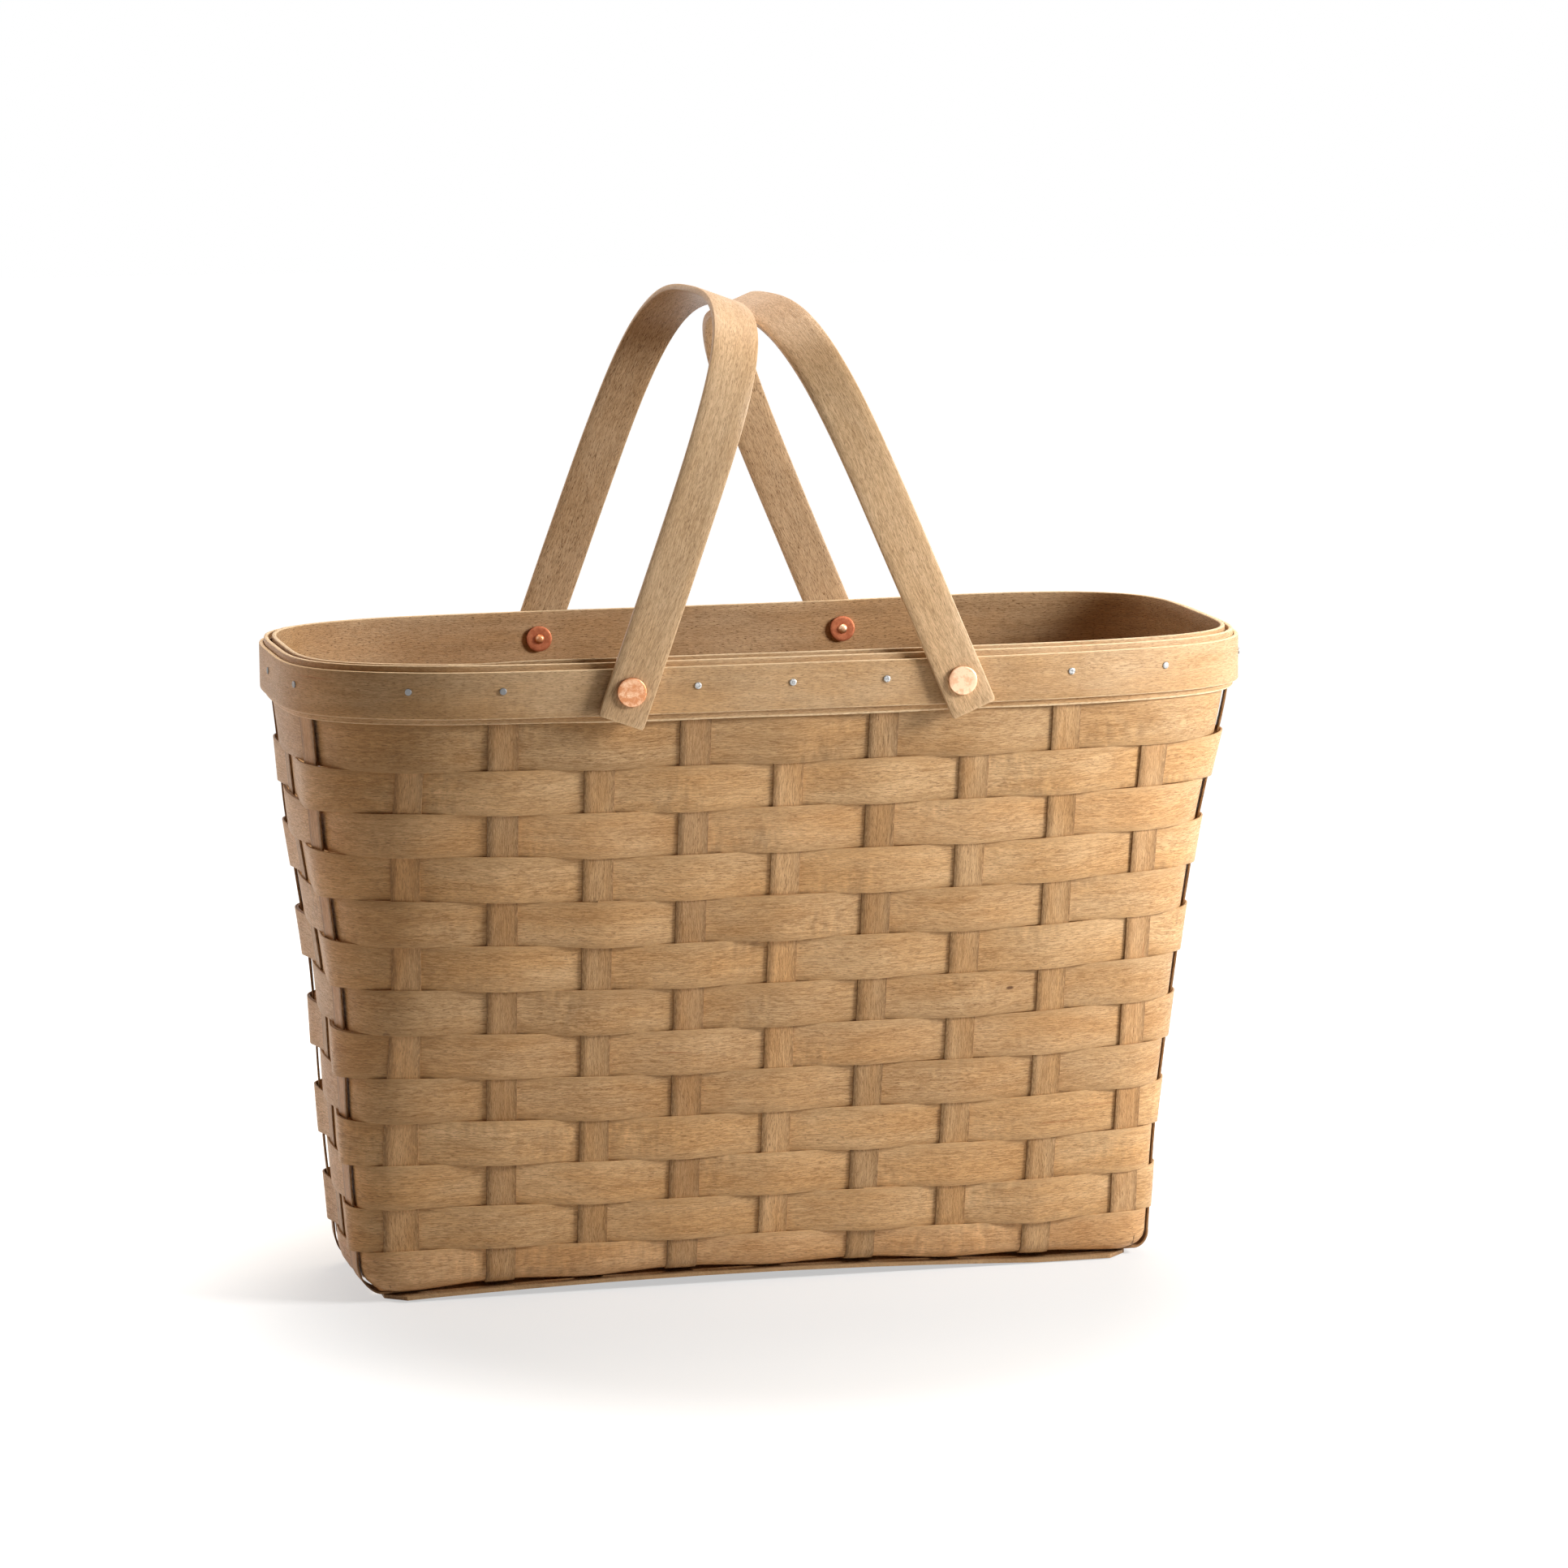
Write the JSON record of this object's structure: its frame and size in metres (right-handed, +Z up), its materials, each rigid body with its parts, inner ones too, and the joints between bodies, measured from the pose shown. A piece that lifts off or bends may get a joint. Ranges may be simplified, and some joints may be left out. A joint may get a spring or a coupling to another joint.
{
  "type": "tote basket",
  "caption": "Woven wood splint tote basket with tapered sides, a three band nailed rim and two riveted bentwood swing handles.",
  "frame": {"origin": "middle of the base board's underside, on the surface that the basket stands on", "axes": "+X along the basket, +Y across it towards the back, +Z up"},
  "size_m": [0.4358, 0.2362, 0.4422],
  "materials": {
    "board_wood": "bare thin board with end grain on its long edges",
    "stake_splint": "bare hardwood splint, fine straight grain",
    "weaver_splint": "bare hardwood splint, satin, fine straight grain with some curl",
    "rim_wood": "bare hardwood band, satin, pale cut edges",
    "handle_wood": "smooth bent hardwood strap, satin",
    "rivet_copper": "brushed copper",
    "burr_copper": "dull copper",
    "nail_aluminium": "bare aluminium"
  },
  "bodies": {
    "basket": {"base_board": "board_wood", "cross_stake_1": "stake_splint", "cross_stake_2": "stake_splint", "cross_stake_3": "stake_splint", "cross_stake_4": "stake_splint", "cross_stake_5": "stake_splint", "cross_stake_6": "stake_splint", "cross_stake_7": "stake_splint", "cross_stake_8": "stake_splint", "cross_stake_9": "stake_splint", "length_stake_1": "stake_splint", "length_stake_2": "stake_splint", "length_stake_3": "stake_splint", "weaver_1": "weaver_splint", "weaver_2": "weaver_splint", "weaver_3": "weaver_splint", "weaver_4": "weaver_splint", "weaver_5": "weaver_splint", "weaver_6": "weaver_splint", "weaver_7": "weaver_splint", "weaver_8": "weaver_splint", "weaver_9": "weaver_splint", "weaver_10": "weaver_splint", "weaver_11": "weaver_splint", "weaver_12": "weaver_splint", "weaver_13": "weaver_splint", "rim_inner_band": "rim_wood", "rim_wide_band": "rim_wood", "rim_narrow_band": "rim_wood", "rivet_front_left": "rivet_copper", "rivet_front_right": "rivet_copper", "rivet_back_left": "rivet_copper", "rivet_back_right": "rivet_copper", "burr_front_left": "burr_copper", "burr_front_right": "burr_copper", "burr_back_left": "burr_copper", "burr_back_right": "burr_copper", "rim_nail_1": "nail_aluminium", "rim_nail_2": "nail_aluminium", "rim_nail_3": "nail_aluminium", "rim_nail_4": "nail_aluminium", "rim_nail_5": "nail_aluminium", "rim_nail_6": "nail_aluminium", "rim_nail_7": "nail_aluminium", "rim_nail_8": "nail_aluminium", "rim_nail_9": "nail_aluminium", "rim_nail_10": "nail_aluminium", "rim_nail_11": "nail_aluminium", "rim_nail_12": "nail_aluminium", "rim_nail_13": "nail_aluminium", "rim_nail_14": "nail_aluminium", "rim_nail_15": "nail_aluminium", "rim_nail_16": "nail_aluminium", "rim_nail_17": "nail_aluminium", "rim_nail_18": "nail_aluminium", "rim_nail_19": "nail_aluminium", "rim_nail_20": "nail_aluminium"},
    "left_handle": {"handle_left": "handle_wood"},
    "right_handle": {"handle_right": "handle_wood"}
  },
  "joints": [
    {"name": "left_handle_swing", "type": "hinge", "parent": "basket", "child": "left_handle", "pos_m": [-0.07267, 0, 0.2762], "axis": [0, -1, 0], "range_deg": [0, 145]},
    {"name": "right_handle_swing", "type": "hinge", "parent": "basket", "child": "right_handle", "pos_m": [0.07267, 0, 0.2762], "axis": [0, 1, 0], "range_deg": [0, 145]}
  ]
}
